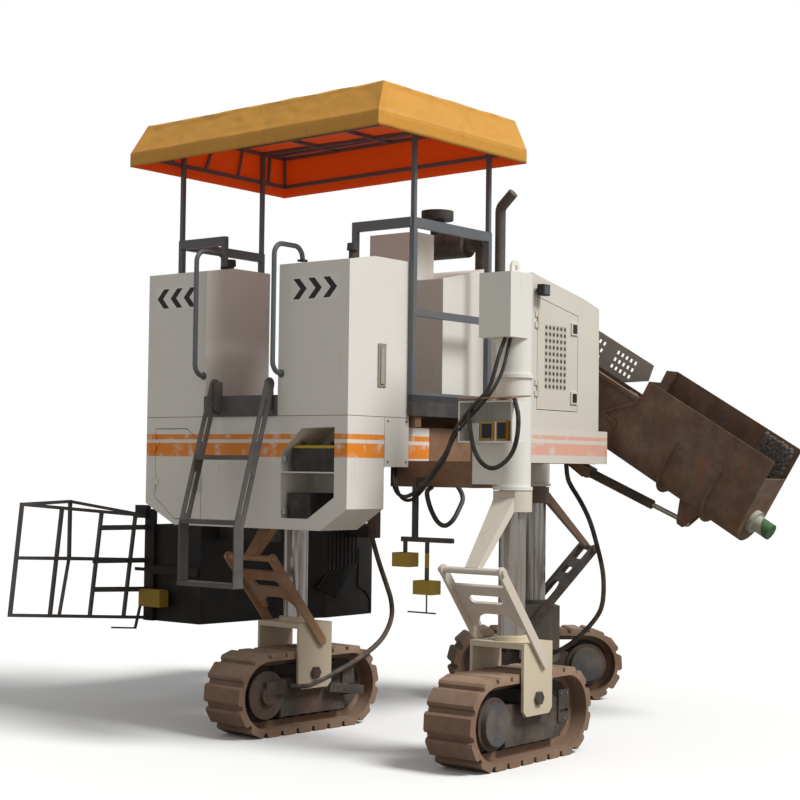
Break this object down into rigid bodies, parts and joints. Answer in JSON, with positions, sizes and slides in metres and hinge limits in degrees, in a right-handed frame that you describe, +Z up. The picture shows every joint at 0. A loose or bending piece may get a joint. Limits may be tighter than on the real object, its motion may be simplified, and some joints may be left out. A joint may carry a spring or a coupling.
{
  "type": "slipform paver",
  "caption": "Three-track slipform curb paver with steered leg columns, side mould, screw conveyor with hopper, platform with rails and fabric canopy",
  "frame": {"origin": "centre of the bounding box on the ground, under the machine", "axes": "+X driving direction, +Y left side of the machine, +Z up"},
  "size_m": [4.7734, 5.679, 4.955],
  "materials": {
    "cream_paint": "worn gloss",
    "grey_paint": "worn satin",
    "dark_steel": "worn and dusty",
    "rusty_steel": "rusty, caked with concrete",
    "black_paint": "matte",
    "orange_fabric": "coated tarpaulin",
    "yellow_plastic": "satin",
    "chrome_steel": "polished, dusty"
  },
  "bodies": {
    "chassis": {"lower_cabinet": "cream_paint", "locker_cases": "black_paint", "upper_cabinet_right": "cream_paint", "upper_cabinet_left": "cream_paint", "ladder_sill": "cream_paint", "handrails": "grey_paint", "main_frame": "rusty_steel", "engine_deck": "cream_paint", "engine_hood": "cream_paint", "engine_block": "dark_steel", "rear_body": "cream_paint", "operator_console": "cream_paint", "air_cleaner": "black_paint", "exhaust_pipe": "black_paint", "platform_floor": "dark_steel", "guard_rails_right": "grey_paint", "guard_rails_left": "grey_paint", "canopy_cover": "orange_fabric", "canopy_frame": "dark_steel", "control_box": "cream_paint", "control_tray": "cream_paint", "work_lamp": "black_paint", "leg_housing_right": "cream_paint", "leg_housing_rear": "cream_paint", "leg_housing_front": "cream_paint", "conveyor_mount": "rusty_steel", "mould_body": "black_paint", "mould_hanger": "black_paint", "step_cage": "dark_steel", "sensor_right": "yellow_plastic", "sensor_left": "yellow_plastic"},
    "cabinet_door": {"cabinet_door": "cream_paint"},
    "engine_door": {"engine_door": "cream_paint"},
    "ladder": {"ladder": "dark_steel"},
    "conveyor": {"conveyor_trough": "rusty_steel", "conveyor_guard": "grey_paint", "screw_motor": "cream_paint"},
    "screw": {"conveyor_screw": "rusty_steel"},
    "lift_barrel": {"lift_barrel": "dark_steel"},
    "lift_rod": {"lift_rod": "chrome_steel"},
    "leg_right": {"leg_column_right": "chrome_steel", "torque_link_right": "rusty_steel", "track_frame_right": "dark_steel", "track_drive_right": "dark_steel", "track_loop_right": "rusty_steel"},
    "leg_rear": {"leg_column_rear": "chrome_steel", "torque_link_rear": "rusty_steel", "track_frame_rear": "dark_steel", "track_drive_rear": "dark_steel", "track_loop_rear": "rusty_steel"},
    "leg_front": {"leg_column_front": "chrome_steel", "torque_link_front": "rusty_steel", "track_frame_front": "dark_steel", "track_drive_front": "dark_steel", "track_loop_front": "rusty_steel"}
  },
  "joints": [
    {"name": "steer_right", "type": "hinge", "parent": "chassis", "child": "leg_right", "pos_m": [-1.19167, -1.9258, 1.944], "axis": [0, 0, 1], "range_deg": [-50, 50]},
    {"name": "steer_rear", "type": "hinge", "parent": "chassis", "child": "leg_rear", "pos_m": [-1.17167, 0.1842, 1.944], "axis": [0, 0, 1], "range_deg": [-46, 54]},
    {"name": "steer_front", "type": "hinge", "parent": "chassis", "child": "leg_front", "pos_m": [1.68833, -0.2358, 1.944], "axis": [0, 0, 1], "range_deg": [-5.5, 94.5]},
    {"name": "cabinet_door_hinge", "type": "hinge", "parent": "chassis", "child": "cabinet_door", "pos_m": [-1.97167, 1.0002, 1.9], "axis": [0, 0, -1], "range_deg": [0, 110]},
    {"name": "engine_door_hinge", "type": "hinge", "parent": "chassis", "child": "engine_door", "pos_m": [0.10133, -1.2898, 2.7], "axis": [0, 0, -1], "range_deg": [0, 110]},
    {"name": "ladder_hinge", "type": "hinge", "parent": "chassis", "child": "ladder", "pos_m": [-2.02167, 0.0092, 2.72], "axis": [0, 1, 0], "range_deg": [0, 95]},
    {"name": "conveyor_tilt", "type": "hinge", "parent": "chassis", "child": "conveyor", "pos_m": [1.55833, -0.6658, 2.48], "axis": [-1, 0, 0], "range_deg": [-6, 20]},
    {"name": "screw_spin", "type": "hinge", "parent": "conveyor", "child": "screw", "pos_m": [1.55833, -1.32431, 2.38833], "axis": [0, -0.8616, -0.5075], "continuous": true},
    {"name": "lift_swing", "type": "hinge", "parent": "chassis", "child": "lift_barrel", "pos_m": [1.55833, -0.8958, 2.085], "axis": [-1, 0, 0], "range_deg": [-8, 26]},
    {"name": "lift_stroke", "type": "slide", "parent": "lift_barrel", "child": "lift_rod", "axis": [0, -0.9189, -0.3944], "range_m": [-0.035, 0.115]}
  ],
  "couplings": [
    {"joint": "lift_swing", "follows": "conveyor_tilt", "ratio": 1.29},
    {"joint": "lift_stroke", "follows": "conveyor_tilt", "m_per_rad": 0.32}
  ]
}
